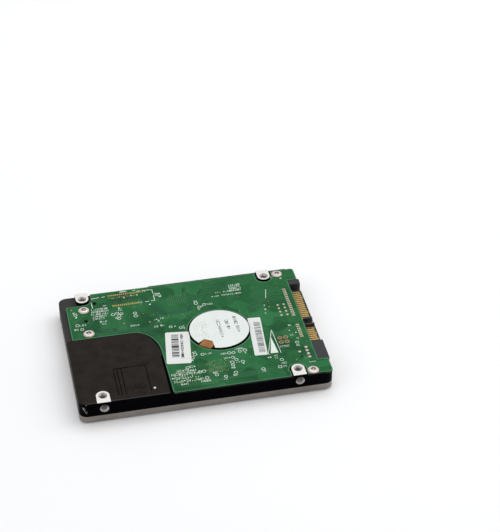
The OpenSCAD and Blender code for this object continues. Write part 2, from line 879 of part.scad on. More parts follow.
module voice_coil() {
  color([0.75, 0.42, 0.22])
    at_pivot(park_angle)
      difference() {
        plate(sector(11, 18.9, 156, 204), 4.2, 6);
        plate(sector(13.2, 16.8, 167, 193, 8), 3, 7);
      }
}

// A suspension's plan, tapering to the lift tab that rests on the ramp.
beam_outline =
  [[17.4, -2.1], [22.5, -2.1], [30.2, -0.75], [31.8, -0.6], [32, -0.3], [33.1, -0.3],
    [33.1, 0.3], [32, 0.3], [31.8, 0.6], [30.2, 0.75], [22.5, 2.1], [17.4, 2.1]];

module suspensions() {
  color([0.80, 0.80, 0.79])
    at_pivot(park_angle)
      for (z = susp_z)
        difference() {
          plate(beam_outline, z, z + susp_t);
          disc(19.4, 0, 0.7, 0, 12);
          plate([[23.4, -1], [27.5, -0.35], [27.5, 0.35], [23.4, 1]], 0, 12);
        }
}

module sliders() {
  color([0.20, 0.20, 0.22])
    at_pivot(park_angle)
      for (i = [0:3])
        slab(head_reach - 0.6, -0.5, head_reach + 0.6, 0.5, slider_z[i], slider_z[i] + slider_h[i]);
}

module preamp_chip() {
  color([0.10, 0.10, 0.10])
    at_pivot(park_angle)
      translate([0, 5.05, 0])
        slab(-0.6, 0, 3, 0.9, 2.6, 5.2);
}

base_casting();
cover();
cover_gasket();
cover_screws();
cover_label();
breather_filter();
pcb();
pcb_screws();
pcb_insulator();
controller_chip();
memory_chip();
motor_driver_chip();
pcb_passives();
connector_pads();
sata_housing();
power_contacts();
signal_contacts();
jumper_pins();
barcode_label();
motor_sticker();
motor_flex();
motor_sleeve();
motor_end_cap();
stator_core();
stator_coils();
pivot_shaft();
vcm_top_yoke();
vcm_bottom_yoke();
vcm_top_magnet();
vcm_bottom_magnet();
vcm_spacers();
crash_stops();
load_ramp();
ramp_screw();
head_connector();
head_connector_pins();
flex_bracket();
latch_post();
recirculation_filter();
desiccant_pack();
spindle_hub();
spindle_shaft();
rotor_magnet();
platter_lower();
platter_upper();
platter_spacer();
disk_clamp();
clamp_screws();
arm_block();
pivot_sleeve();
pivot_bearings();
coil_frame();
voice_coil();
suspensions();
sliders();
preamp_chip();
head_flex();
latch_lever();
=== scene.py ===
"""Looks for a 2.5 inch hard disk drive, board side up, in metres and in the CAD frame."""

import math
import random

import bmesh
import bpy
from mathutils import Matrix, Vector


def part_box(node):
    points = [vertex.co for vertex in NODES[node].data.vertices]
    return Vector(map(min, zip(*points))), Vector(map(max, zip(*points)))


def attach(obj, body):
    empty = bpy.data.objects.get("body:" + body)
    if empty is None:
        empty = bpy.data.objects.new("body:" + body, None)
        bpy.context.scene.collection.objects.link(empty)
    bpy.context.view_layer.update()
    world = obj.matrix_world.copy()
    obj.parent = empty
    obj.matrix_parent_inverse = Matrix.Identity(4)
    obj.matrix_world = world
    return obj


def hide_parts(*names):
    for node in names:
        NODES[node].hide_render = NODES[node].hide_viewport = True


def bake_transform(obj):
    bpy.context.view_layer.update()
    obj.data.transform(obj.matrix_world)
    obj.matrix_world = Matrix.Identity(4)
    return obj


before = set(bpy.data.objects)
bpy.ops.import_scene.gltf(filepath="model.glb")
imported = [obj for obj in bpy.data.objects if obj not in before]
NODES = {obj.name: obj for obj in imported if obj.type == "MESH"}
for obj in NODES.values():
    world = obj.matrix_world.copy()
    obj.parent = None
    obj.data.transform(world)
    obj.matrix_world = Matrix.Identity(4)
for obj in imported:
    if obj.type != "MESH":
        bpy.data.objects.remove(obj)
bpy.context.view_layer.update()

# ---- places, in millimetres: piece() turns its mesh into metres ----
MM = 0.001
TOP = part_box("pcb")[1].z / MM  # the board's upper face
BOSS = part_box("base_casting")[1].z / MM  # the mounting faces
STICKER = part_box("motor_sticker")[1].z / MM
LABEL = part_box("barcode_label")[1].z / MM
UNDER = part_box("cover_label")[0].z / MM  # the cover label's outer face, on the underside
SIDE_Y = 34.925  # the casting's long sides
SPINDLE = 11.0  # X of the spindle, whose Y is 0
HOLE_X = (-40.5, 36.1)
HOLE_Y = 30.86
HOLES = [(x, y) for x in HOLE_X for y in (-HOLE_Y, HOLE_Y)]
SIDE_DROP = 3  # the side holes' axes are this far below the mounting faces
BOARD_SCREWS = [(-40.7, 24), (-40.6, 8.4), (41.9, -32.3), (42, 31.8)]

# the bottom and top of thin layers, just proud of the face they lie on
MARGIN = (TOP + 0.001, TOP + 0.006)
Z0, Z1 = TOP + 0.002, TOP + 0.03
DOT_TOP = TOP + 0.02
DARK_TOP = TOP + 0.015
TRACK_TOP = TOP + 0.012
RIPPLE_TOP = TOP + 0.011
LABEL_INK = (LABEL + 0.002, LABEL + 0.02)
STICKER_INK = (STICKER + 0.002, STICKER + 0.02)
STICKER_EMBOSS = (STICKER + 0.002, STICKER + 0.012)
UNDER_INK = (UNDER - 0.006, UNDER + 0.02)
HOUSING_FILM = (BOSS - 0.052, BOSS - 0.046)


# ---- camera and light ----
def look(name, location, back, lens):
    """A level camera at location, looking against back."""
    right = Vector((0, 0, 1)).cross(back).normalized()
    up = back.cross(right)
    data = bpy.data.cameras.new(name)
    data.lens = lens
    data.sensor_width = 36
    data.clip_start = 0.01
    data.clip_end = 20
    cam = bpy.data.objects.new(name, data)
    cam.matrix_world = Matrix((right, up, back)).transposed().to_4x4()
    cam.location = location
    bpy.context.collection.objects.link(cam)
    return cam


AZIMUTH, ELEVATION = math.radians(-12.23), math.radians(36.26)
BACK = Vector((math.sin(AZIMUTH) * math.cos(ELEVATION), -math.cos(AZIMUTH) * math.cos(ELEVATION),
               math.sin(ELEVATION)))
EYE = (-0.08263, -0.49027, 0.40662)  # metres
LENS = 107.25
bpy.context.scene.camera = look("view", EYE, BACK, LENS)


def area(name, location, size, power, size_y=None):
    """A softbox at location, aimed at the origin."""
    data = bpy.data.lights.new(name, "AREA")
    data.shape = "RECTANGLE"
    data.size = size
    data.size_y = size_y or size
    data.energy = power
    light = bpy.data.objects.new(name, data)
    light.location = location
    light.rotation_euler = (-Vector(location)).to_track_quat("-Z", "Y").to_euler()
    bpy.context.collection.objects.link(light)


area("softbox_over", (0.16, 0.24, 0.9), 1.0, 3.7, size_y=0.8)
area("softbox_left", (-1.1, -0.3, 0.8), 0.8, 1.7)
area("softbox_right", (0.95, 0.1, 0.8), 0.8, 2.8)

world = bpy.data.worlds.new("studio")
bpy.context.scene.world = world
world.use_nodes = True
world.node_tree.nodes["Background"].inputs["Color"].default_value = (0.97, 0.98, 1, 1)
world.node_tree.nodes["Background"].inputs["Strength"].default_value = 0.6
bpy.context.scene.view_settings.view_transform = "Standard"


# ---- materials ----
def srgb(r, g, b):
    """A display colour of 0 to 255 as linear RGBA."""

    def lin(c):
        c /= 255
        return c / 12.92 if c <= 0.04045 else ((c + 0.055) / 1.055) ** 2.4

    return (lin(r), lin(g), lin(b), 1)


class Shader:
    """A material under construction: small helpers round its node tree."""

    def __init__(self, name, **fixed):
        self.mat = bpy.data.materials.new(name)
        self.mat.use_nodes = True
        self.tree = self.mat.node_tree
        self.bsdf = self.tree.nodes["Principled BSDF"]
        for key, value in fixed.items():
            self.bsdf.inputs[key.replace("_", " ")].default_value = value
        self.coords = self.tree.nodes.new("ShaderNodeTexCoord").outputs["Object"]

    def node(self, kind, inputs=(), **props):
        n = self.tree.nodes.new("ShaderNode" + kind)
        for key, value in props.items():
            setattr(n, key, value)
        for key, value in dict(inputs).items():
            if isinstance(value, bpy.types.NodeSocket):
                self.tree.links.new(value, n.inputs[key])
            else:
                n.inputs[key].default_value = value
        return n

    def to(self, socket, value):
        self.tree.links.new(value, self.bsdf.inputs[socket])

    def stretched(self, scale, shift=(0, 0, 0)):
        return self.node("Mapping", {"Vector": self.coords, "Scale": scale, "Location": shift}).outputs[0]

    def noise(self, scale, detail=3, rough=0.55, vector=None):
        inputs = {"Vector": vector or self.coords, "Scale": scale, "Detail": detail, "Roughness": rough}
        return self.node("TexNoise", inputs).outputs["Fac"]

    def wave(self, vector, scale, distortion, detail=2, **props):
        inputs = {"Vector": vector, "Scale": scale, "Distortion": distortion, "Detail": detail}
        return self.node("TexWave", inputs, **props).outputs["Fac"]

    def ramp(self, fac, *stops):
        n = self.node("ValToRGB", {"Fac": fac})
        el = n.color_ramp.elements
        el[0].position, el[0].color = stops[0]
        el[1].position, el[1].color = stops[-1]
        for place, colour in stops[1:-1]:
            el.new(place).color = colour
        return n.outputs["Color"]

    def spread(self, fac, low, high, a=0.3, b=0.7):
        """Maps fac from a..b to low..high."""
        inputs = {"Value": fac, "From Min": a, "From Max": b, "To Min": low, "To Max": high}
        return self.node("MapRange", inputs).outputs[0]

    def mix(self, fac, a, b):
        """Blends a and b; 6 and 7 are the node's colour inputs, and 2 its colour output."""
        n = self.tree.nodes.new("ShaderNodeMix")
        n.data_type = "RGBA"
        for i, value in ((0, fac), (6, a), (7, b)):
            if isinstance(value, bpy.types.NodeSocket):
                self.tree.links.new(value, n.inputs[i])
            else:
                n.inputs[i].default_value = value
        return n.outputs[2]

    def bump(self, *heights):
        """Stacks bump nodes, each from a height, its strength and its distance."""
        normal = None
        for height, strength, distance in heights:
            n = self.node("Bump", {"Height": height, "Strength": strength, "Distance": distance})
            if normal is not None:
                self.tree.links.new(normal, n.inputs["Normal"])
            normal = n.outputs[0]
        self.to("Normal", normal)


def plain(name, low, high, rough, scale=900, bump=0.1, metallic=0.0, grain=6000, **fixed):
    """A finish of two close colours, mottled, with uneven roughness and a fine grain."""
    s = Shader(name, Metallic=metallic, **fixed)
    broad = s.noise(scale, 4)
    fine = s.noise(grain, 2)
    s.to("Base Color", s.ramp(s.mix(0.35, broad, fine), (0.3, low), (0.7, high)))
    s.to("Roughness", s.spread(s.noise(scale * 1.7, 3), rough[0], rough[1]))
    s.bump((fine, bump, 0.00004))
    return s.mat


def brushed(name, low, high, rough, along="X", metallic=0.9):
    """Metal with fine straight grain along one axis."""
    s = Shader(name, Metallic=metallic)
    grain = s.stretched((60, 5200, 5200) if along == "X" else (5200, 60, 5200))
    lines = s.noise(1, 3, 0.6, grain)
    broad = s.noise(120, 3)
    s.to("Base Color", s.ramp(s.mix(0.5, lines, broad), (0.3, low), (0.7, high)))
    s.to("Roughness", s.spread(lines, rough[0], rough[1]))
    s.bump((lines, 0.12, 0.00002))
    return s.mat


def rings_round_spindle(s, scale, distortion):
    centred = s.stretched((1, 1, 1), (-SPINDLE * MM, 0, 0))
    return s.wave(centred, scale, distortion, wave_type="RINGS", rings_direction="Z")


def turned(name, low, high, rough):
    """Metal with the fine rings that turning or facing leaves round the spindle's axis."""
    s = Shader(name, Metallic=1.0)
    rings = rings_round_spindle(s, 800, 0.4)
    broad = s.noise(700, 3)
    s.to("Base Color", s.ramp(s.mix(0.65, rings, broad), (0.25, low), (0.75, high)))
    s.to("Roughness", s.spread(broad, rough[0], rough[1]))
    s.bump((rings, 0.1, 0.00001))
    return s.mat


def coated(name, low, high, rough, level):
    """The casting's thin black coating: cloudy over a few millimetres, over the cast grain."""
    s = Shader(name, Specular_IOR_Level=level)
    clouds = s.noise(230, 4, 0.6)
    grain = s.noise(2600, 3, 0.65)
    pits = s.noise(5200, 2)
    s.to("Base Color", s.ramp(s.mix(0.45, clouds, grain), (0.34, low), (0.66, high)))
    s.to("Roughness", s.spread(s.mix(0.5, clouds, pits), rough[0], rough[1]))
    s.bump((pits, 0.35, 0.00004), (grain, 0.15, 0.00006))
    return s.mat


def board_mask():
    """Solder mask over copper: pours, faint traces between them, glass weave in the gloss."""
    s = Shader("board_mask", Specular_IOR_Level=0.13)
    pours = s.node("TexVoronoi", {"Vector": s.coords, "Scale": 120, "Randomness": 0.8}, distance="MANHATTAN")
    pours = s.node("SeparateColor", {"Color": pours.outputs["Color"]}).outputs["Red"]
    cloud = s.mix(0.5, s.noise(60, 4), s.noise(1400, 3, 0.7))
    base = s.ramp(s.mix(0.72, pours, cloud), (0.32, srgb(13, 72, 37)), (0.5, srgb(25, 92, 48)),
                  (0.7, srgb(39, 110, 62)))
    bricks = {"Vector": s.stretched((900, 900, 900)), "Scale": 1, "Mortar Size": 0.06, "Brick Width": 3.4,
              "Row Height": 0.42}
    tracks = s.node("TexBrick", bricks, offset=0.37).outputs["Fac"]
    region = s.spread(s.noise(110, 2, 0.4), 0, 1, 0.5, 0.56)
    lines = s.node("Math", {0: tracks, 1: region}, operation="MULTIPLY").outputs[0]
    s.to("Base Color", s.mix(s.spread(lines, 0, 0.5, 0, 1), base, srgb(62, 126, 80)))
    weave = s.wave(s.coords, 700, 1.5, 1)
    s.to("Roughness", s.spread(s.mix(0.5, weave, s.noise(900, 2)), 0.32, 0.48))
    s.bump((pours, 0.08, 0.00003), (lines, 0.25, 0.00003), (weave, 0.03, 0.00002))
    return s.mat


def paper(name, low, high, rough=(0.3, 0.45)):
    """A coated paper label: nearly white, with soft ripples where it is stuck down."""
    s = Shader(name, Specular_IOR_Level=0.45)
    broad = s.noise(130, 3)
    fibre = s.noise(4200, 3, 0.7)
    s.to("Base Color", s.ramp(s.mix(0.4, broad, fibre), (0.3, low), (0.7, high)))
    s.to("Roughness", s.spread(fibre, rough[0], rough[1]))
    s.bump((broad, 0.25, 0.0004), (fibre, 0.06, 0.00002))
    return s.mat


def film(name, low, high):
    """Polyimide flex: amber film over copper lanes."""
    s = Shader(name, Coat_Weight=0.12, Coat_Roughness=0.25, Specular_IOR_Level=0.3)
    slanted = s.node("Mapping", {"Vector": s.coords, "Rotation": (0, 0, math.radians(33))}).outputs[0]
    lanes = s.wave(slanted, 260, 0.2, bands_direction="Y")
    broad = s.noise(300, 3)
    amber = s.ramp(broad, (0.3, low), (0.7, high))
    s.to("Base Color", s.mix(s.spread(lanes, 0, 0.6, 0.35, 0.65), amber, srgb(120, 74, 34)))
    s.to("Roughness", s.spread(broad, 0.28, 0.42))
    s.bump((lanes, 0.3, 0.00004))
    return s.mat


def mirror_disc():
    """A polished platter, with rings so faint that they only break up its reflections."""
    s = Shader("platter_mirror", Metallic=1.0)
    rings = rings_round_spindle(s, 500, 0.1)
    s.to("Base Color", s.ramp(rings, (0, srgb(214, 216, 219)), (1, srgb(218, 220, 223))))
    s.to("Roughness", s.spread(s.noise(200, 2), 0.04, 0.09))
    return s.mat


def wire_coil():
    """Enamelled copper wire in level turns."""
    s = Shader("enamelled_copper", Metallic=0.8, Coat_Weight=0.3, Coat_Roughness=0.15)
    turns = s.wave(s.coords, 1500, 0.3, bands_direction="Z")
    s.to("Base Color", s.ramp(turns, (0.2, srgb(132, 66, 34)), (0.8, srgb(206, 122, 72))))
    s.to("Roughness", s.spread(turns, 0.28, 0.4, 0, 1))
    s.bump((turns, 0.6, 0.00008))
    return s.mat


M = {
    "casting": coated("casting_coat", srgb(15, 11, 8), srgb(42, 36, 30), (0.42, 0.58), 0.09),
    # a nearly black copy of the coat for the casting's side faces and its front notch's floor: painted shade
    "casting_painted_shade": coated("casting_coat_painted_shade", srgb(0, 0, 2), srgb(5, 4, 8), (0.3, 0.42), 0.012),
    "casting_recess": coated("casting_coat_recess", srgb(38, 37, 36), srgb(54, 52, 50), (0.5, 0.65), 0.25),
    "engraved": coated("casting_engraved", srgb(4, 3, 3), srgb(9, 8, 7), (0.55, 0.7), 0.05),
    # a lighter copy of the coat for the housing's front edge: painted highlight
    "worn": coated("casting_coat_painted_highlight", srgb(40, 37, 36), srgb(66, 62, 60), (0.4, 0.55), 0.12),
    "bare": plain("machined_pad", srgb(222, 218, 213), srgb(242, 238, 233), (0.38, 0.5), 1500, 0.04, 0.3),
    "bore": plain("tapped_metal", srgb(150, 147, 143), srgb(208, 205, 200), (0.28, 0.42), metallic=0.75),
    "cover": brushed("cover_metal", srgb(118, 112, 106), srgb(146, 139, 132), (0.34, 0.5), metallic=0.4),
    "gasket": plain("gasket_rubber", srgb(22, 22, 23), srgb(36, 36, 37), (0.6, 0.8)),
    "screw": plain("screw_steel", srgb(218, 211, 206), srgb(240, 235, 231), (0.26, 0.4), 1800, 0.05, 0.55),
    # the sockets' walls: a darker copy of the screw metal, painted shade inside the socket
    "socket": plain("socket_painted_shade", srgb(112, 100, 95), srgb(150, 136, 130), (0.4, 0.6), metallic=0.3),
    "blush": plain("screw_ring", srgb(204, 172, 162), srgb(230, 204, 194), (0.35, 0.5), metallic=0.4),
    "paper": paper("label_paper", srgb(217, 220, 216), srgb(229, 231, 228)),
    "sticker": paper("sticker_paper", srgb(221, 228, 223), srgb(233, 238, 234), (0.24, 0.36)),
    "print": plain("label_print", srgb(28, 28, 30), srgb(50, 50, 52), (0.4, 0.55), bump=0.03),
    "faint_print": plain("label_print_grey", srgb(70, 78, 80), srgb(104, 110, 110), (0.4, 0.55), bump=0.03),
    # embossed marks, tinted pale green: painted reflection
    "emboss": plain("label_emboss_painted_reflection", srgb(160, 174, 162), srgb(194, 202, 186), (0.3, 0.45), bump=0.03),
    "board": board_mask(),
    # the board's edge faces: laminate green, darkened as painted shade
    "board_edge": plain("board_laminate_painted_shade", srgb(24, 38, 27), srgb(44, 60, 44), (0.6, 0.8), bump=0.25,
                        grain=3000),
    "margin": plain("board_margin", srgb(52, 110, 74), srgb(66, 126, 90), (0.32, 0.46), bump=0.05,
                    Specular_IOR_Level=0.3),
    "track": plain("board_track", srgb(48, 108, 68), srgb(58, 120, 78), (0.3, 0.44), bump=0.05,
                   Specular_IOR_Level=0.3),
    "track_dark": plain("board_gap", srgb(14, 62, 40), srgb(22, 74, 50), (0.36, 0.5), bump=0.05,
                        Specular_IOR_Level=0.3),
    "silk": plain("silkscreen", srgb(208, 220, 207), srgb(236, 242, 234), (0.5, 0.7), grain=9000, bump=0.1),
    "haze": plain("band_tracks", srgb(18, 64, 52), srgb(32, 78, 66), (0.36, 0.5), bump=0.05,
                  Specular_IOR_Level=0.2),
    "ripple": plain("ripple_tracks", srgb(36, 98, 50), srgb(50, 108, 60), (0.34, 0.5), bump=0.05),
    "dust": plain("pad_mark_red", srgb(168, 92, 70), srgb(196, 116, 90), (0.4, 0.6)),
    "tin": plain("tinned_pad", srgb(196, 186, 160), srgb(224, 217, 196), (0.24, 0.4), metallic=0.8),
    "ring_copper": plain("copper_pad", srgb(150, 116, 92), srgb(182, 146, 118), (0.3, 0.45), metallic=0.7),
    "hole": plain("hole_shade", srgb(16, 22, 17), srgb(30, 38, 30), (0.6, 0.8)),
    "solder": plain("solder", srgb(184, 184, 178), srgb(214, 213, 206), (0.18, 0.34), bump=0.15,
                    metallic=0.9),
    "gold": plain("gold_plate", srgb(188, 154, 84), srgb(222, 190, 118), (0.24, 0.38), bump=0.05,
                  metallic=0.85),
    "foam": plain("board_foam", srgb(34, 34, 38), srgb(56, 56, 62), (0.8, 0.95), grain=2600, bump=0.6),
    "chip": plain("chip_resin", srgb(26, 26, 28), srgb(40, 40, 42), (0.5, 0.68), grain=5200, bump=0.3),
    "passive": plain("passive_ceramic", srgb(134, 106, 78), srgb(172, 142, 110), (0.4, 0.55)),
    "plastic": plain("connector_plastic", srgb(22, 22, 24), srgb(38, 38, 41), (0.42, 0.6), bump=0.25,
                     grain=5200),
    "flex": film("motor_flex_film", srgb(146, 92, 34), srgb(178, 118, 50)),
    "head_flex": film("head_flex_film", srgb(160, 104, 52), srgb(192, 132, 70)),
    "bronze": turned("bearing_bronze", srgb(170, 140, 92), srgb(200, 168, 116), (0.25, 0.4)),
    "steel": brushed("lamination_steel", srgb(112, 114, 118), srgb(146, 148, 152), (0.3, 0.45)),
    "copper": wire_coil(),
    "hub": turned("turned_aluminium", srgb(190, 192, 195), srgb(216, 218, 221), (0.2, 0.34)),
    "milled": brushed("milled_aluminium", srgb(182, 184, 187), srgb(212, 214, 217), (0.26, 0.4), "Y"),
    "nickel": plain("nickel_plate", srgb(170, 171, 173), srgb(200, 201, 203), (0.2, 0.34), metallic=0.95),
    "magnet": plain("magnet_plate", srgb(96, 97, 100), srgb(128, 129, 133), (0.25, 0.4), metallic=0.9),
    "platter": mirror_disc(),
    "ramp": plain("ramp_polymer", srgb(206, 200, 180), srgb(226, 221, 204), (0.35, 0.5), bump=0.06),
    "rubber": plain("stop_rubber", srgb(20, 20, 20), srgb(34, 34, 34), (0.7, 0.9), bump=0.3),
    "spring": brushed("spring_steel", srgb(188, 189, 190), srgb(220, 221, 222), (0.2, 0.34)),
    "slider": plain("slider_ceramic", srgb(40, 40, 44), srgb(62, 62, 68), (0.15, 0.3)),
    "fibre": plain("filter_fibre", srgb(214, 211, 200), srgb(236, 234, 226), (0.85, 1.0), bump=0.8,
                   grain=1800),
}

# ---- CAD nodes: one finish each, or several by face ----
FINISH = {
    "cover": "cover", "cover_gasket": "gasket", "cover_label": "paper", "breather_filter": "fibre",
    "pcb_insulator": "foam", "controller_chip": "chip", "memory_chip": "chip", "motor_driver_chip": "chip",
    "pcb_passives": "passive", "connector_pads": "gold", "sata_housing": "plastic", "power_contacts": "gold",
    "signal_contacts": "gold", "jumper_pins": "gold", "barcode_label": "paper", "motor_sticker": "sticker",
    "motor_flex": "flex", "motor_sleeve": "bronze", "motor_end_cap": "nickel", "stator_core": "steel",
    "stator_coils": "copper", "pivot_shaft": "milled", "vcm_top_yoke": "nickel", "vcm_bottom_yoke": "nickel",
    "vcm_top_magnet": "magnet", "vcm_bottom_magnet": "magnet", "vcm_spacers": "nickel",
    "crash_stops": "rubber", "load_ramp": "ramp", "ramp_screw": "screw", "head_connector": "plastic",
    "head_connector_pins": "gold", "flex_bracket": "milled", "latch_post": "nickel",
    "recirculation_filter": "fibre", "desiccant_pack": "fibre",
    "spindle_hub": "hub", "spindle_shaft": "nickel", "rotor_magnet": "magnet", "platter_lower": "platter",
    "platter_upper": "platter", "platter_spacer": "hub", "disk_clamp": "hub", "clamp_screws": "screw",
    "arm_block": "milled", "pivot_sleeve": "steel", "pivot_bearings": "nickel", "coil_frame": "plastic",
    "voice_coil": "copper", "suspensions": "spring", "sliders": "slider", "preamp_chip": "chip",
    "head_flex": "head_flex", "latch_lever": "plastic", "cover_screws": "screw", "pcb_screws": "screw",
}


def finish(node, *keys, pick=None):
    """Gives a CAD node its materials; pick(centre in mm, normal) names the one that a face takes."""
    mesh = NODES[node].data
    mesh.materials.clear()
    for key in keys:
        mesh.materials.append(M[key])
    for poly in mesh.polygons:
        poly.material_index = keys.index(pick(poly.center / MM, poly.normal)) if pick else 0


for name, key in FINISH.items():
    finish(name, key)


def casting_face(c, n):
    """The finish of the casting's face with centre c and normal n."""
    bore_reach = 1.8  # a face no further than this from a hole's axis is in its bore
    from_bottom_hole = min(math.dist((c.x, c.y), hole) for hole in HOLES)
    from_side_hole = min(math.dist((c.x, c.z), (x, BOSS - SIDE_DROP)) for x in HOLE_X)
    if c.z > BOSS - 0.02 and n.z > 0.9:
        return "bare"
    if from_bottom_hole < bore_reach and c.z > BOSS - 3.1 and abs(n.z) < 0.9:
        return "bore"
    if from_side_hole < bore_reach and 31.5 < abs(c.y) < SIDE_Y - 0.015:
        return "bore"
    if BOSS - 0.26 < c.z < BOSS - 0.06 and -34.6 < c.x < -21.5 and -32.4 < c.y < -15.9:
        return "engraved"
    # painted shade: the nearly black coat goes on the deck's floor in the front notch and on every side face
    if n.z > 0.9 and 7.5 < c.z < 8.0:
        return "casting_painted_shade" if c.y < -20 else "casting_recess"
    return "casting_painted_shade" if abs(n.z) < 0.5 else "casting"


finish("base_casting", "casting", "bare", "bore", "casting_recess", "engraved", "casting_painted_shade",
       pick=casting_face)
# the edge faces take the darkened laminate, which paints their shade
finish("pcb", "board", "board_edge", pick=lambda c, n: "board" if abs(n.z) > 0.9 else "board_edge")


# ---- mesh helpers, all in millimetres ----
def piece(name, bm, material, body="base", smooth=False):
    """A new object from a bmesh, riding on a body, or on none yet where body is None."""
    bmesh.ops.recalc_face_normals(bm, faces=bm.faces)
    mesh = bpy.data.meshes.new(name)
    bm.to_mesh(mesh)
    bm.free()
    mesh.transform(Matrix.Scale(MM, 4))
    for m in material if isinstance(material, (list, tuple)) else [material]:
        mesh.materials.append(M[m])
    for poly in mesh.polygons:
        poly.use_smooth = smooth
    obj = bpy.data.objects.new(name, mesh)
    bpy.context.collection.objects.link(obj)
    if body:
        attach(obj, body)
    return obj


def turn(points, angle, x=0.0, y=0.0):
    """Points turned about the origin, then moved by x and y."""
    c, s = math.cos(angle), math.sin(angle)
    return [(x + c * px - s * py, y + s * px + c * py) for px, py in points]


def circle(x, y, r, n, stretch=1.0):
    """Points round a circle, which stretch widens along X."""
    angles = [2 * math.pi * i / n for i in range(n)]
    return [(x + r * stretch * math.cos(a), y + r * math.sin(a)) for a in angles]


def arc(cx, cy, a, b, start, end, n=10):
    """Points along an elliptical arc, from start to end in degrees."""
    angles = [math.radians(start + (end - start) * i / n) for i in range(n + 1)]
    return [(cx + a * math.cos(t), cy + b * math.sin(t)) for t in angles]


def shifted(points, d):
    """The same polyline moved sideways by d, to its left."""
    out = []
    for i, (x, y) in enumerate(points):
        (ax, ay), (bx, by) = points[max(i - 1, 0)], points[min(i + 1, len(points) - 1)]
        n = math.hypot(bx - ax, by - ay)
        out.append((x - (by - ay) / n * d, y + (bx - ax) / n * d))
    return out


def level(bm, points, z):
    """New vertices over points, all at height z."""
    return [bm.verts.new((x, y, z)) for x, y in points]


def skin(bm, rows, closed=False):
    """Quads from each loop of vertices to the next, and from the last to the first if closed."""
    faces = []
    for a, b in zip(rows, rows[1:] + rows[:1] if closed else rows[1:]):
        n = len(a)
        faces += [bm.faces.new((a[i], a[(i + 1) % n], b[(i + 1) % n], b[i])) for i in range(n)]
    return faces


def prism(bm, points, z0, z1, index=0):
    """An outline raised from z0 to z1, in the piece's material number index."""
    low, high = level(bm, points, z0), level(bm, points, z1)
    for face in [bm.faces.new(low[::-1]), bm.faces.new(high)] + skin(bm, [low, high]):
        face.material_index = index


def bar(bm, x, y, w, h, z0, z1, angle=0.0):
    corners = [(-w / 2, -h / 2), (w / 2, -h / 2), (w / 2, h / 2), (-w / 2, h / 2)]
    prism(bm, turn(corners, angle, x, y), z0, z1)


def dot(bm, x, y, r, z0, z1, n=14):
    prism(bm, circle(x, y, r, n), z0, z1)


def ring(bm, x, y, r0, r1, z0, z1, n=20):
    corners = ((r0, z0), (r1, z0), (r1, z1), (r0, z1))
    skin(bm, [level(bm, circle(x, y, r, n), z) for r, z in corners], closed=True)


def dome(bm, x, y, r, z0, height, n=14, stretch=1.0):
    """A low solder dome: loops of vertices up to a point, closed below."""
    slopes = [k * math.pi / 8 for k in range(4)]
    rows = [level(bm, circle(x, y, r * math.cos(a), n, stretch), z0 + height * math.sin(a)) for a in slopes]
    tip = bm.verts.new((x, y, z0 + height))
    bm.faces.new(rows[0][::-1])
    skin(bm, rows)
    for i in range(n):
        bm.faces.new((rows[3][i], rows[3][(i + 1) % n], tip))


def ribbon(bm, points, width, z0, z1, index=0):
    """A flat track along a polyline."""
    prism(bm, shifted(points, width / 2) + shifted(points, -width / 2)[::-1], z0, z1, index)


def loop_ribbon(bm, points, width, z0, z1):
    """A closed flat band just inside an outline."""
    inner = []
    for i, (x, y) in enumerate(points):
        (ax, ay), (bx, by) = points[i - 1], points[(i + 1) % len(points)]
        d1, d2 = math.hypot(x - ax, y - ay), math.hypot(bx - x, by - y)
        mx, my = -(y - ay) / d1 - (by - y) / d2, (x - ax) / d1 + (bx - x) / d2
        m = max(0.5, (mx * mx + my * my) / 2)
        inner.append((x + mx / m * width, y + my / m * width))
    corners = ((points, z0), (points, z1), (inner, z1), (inner, z0))
    skin(bm, [level(bm, outline, z) for outline, z in corners], closed=True)


rnd = random.Random(7)  # every random choice below is drawn from it, in this order

# ---- board: margin and tracks ----
outline = ([(-13.6, -33.2)] + arc(-12.4, -33.2, 1.2, 1.2, 180, 270, 5)
           + [(33, -34.4), (33, -30.9)] + arc(36.1, -30.86, 3.55, 3.55, 180, 0, 12) + [(39.6, -34.4)]
           + arc(48.1, -33.1, 1.3, 1.3, -90, 0, 5)
           + [(49.4, -26.2), (45.3, -26.2), (45.3, 26.6), (49.4, 26.6)]
           + arc(48.1, 32.9, 1.3, 1.3, 0, 90, 5) + [(39.6, 34.2)] + arc(36.1, 30.86, 3.55, 3.55, 0, -180, 12)
           + [(32.6, 34.2), (-36.9, 34.2)] + arc(-40.5, 30.86, 3.65, 3.65, 0, -74, 8) + [(-42.3, 27.2)]
           + arc(-46.9, 26.4, 0.8, 0.8, 90, 180, 4) + arc(-46.9, 6.1, 0.8, 0.8, 180, 270, 4)
           + arc(-23.5, -9, 9.6, 14.3, 90, 0, 12))
outline = [p for i, p in enumerate(outline) if math.dist(p, outline[i - 1]) > 0.02]
bm = bmesh.new()
loop_ribbon(bm, outline, 0.42, *MARGIN)
ring(bm, SPINDLE, 0, 12.84, 13.35, *MARGIN, 64)
piece("board_margin", bm, "margin")

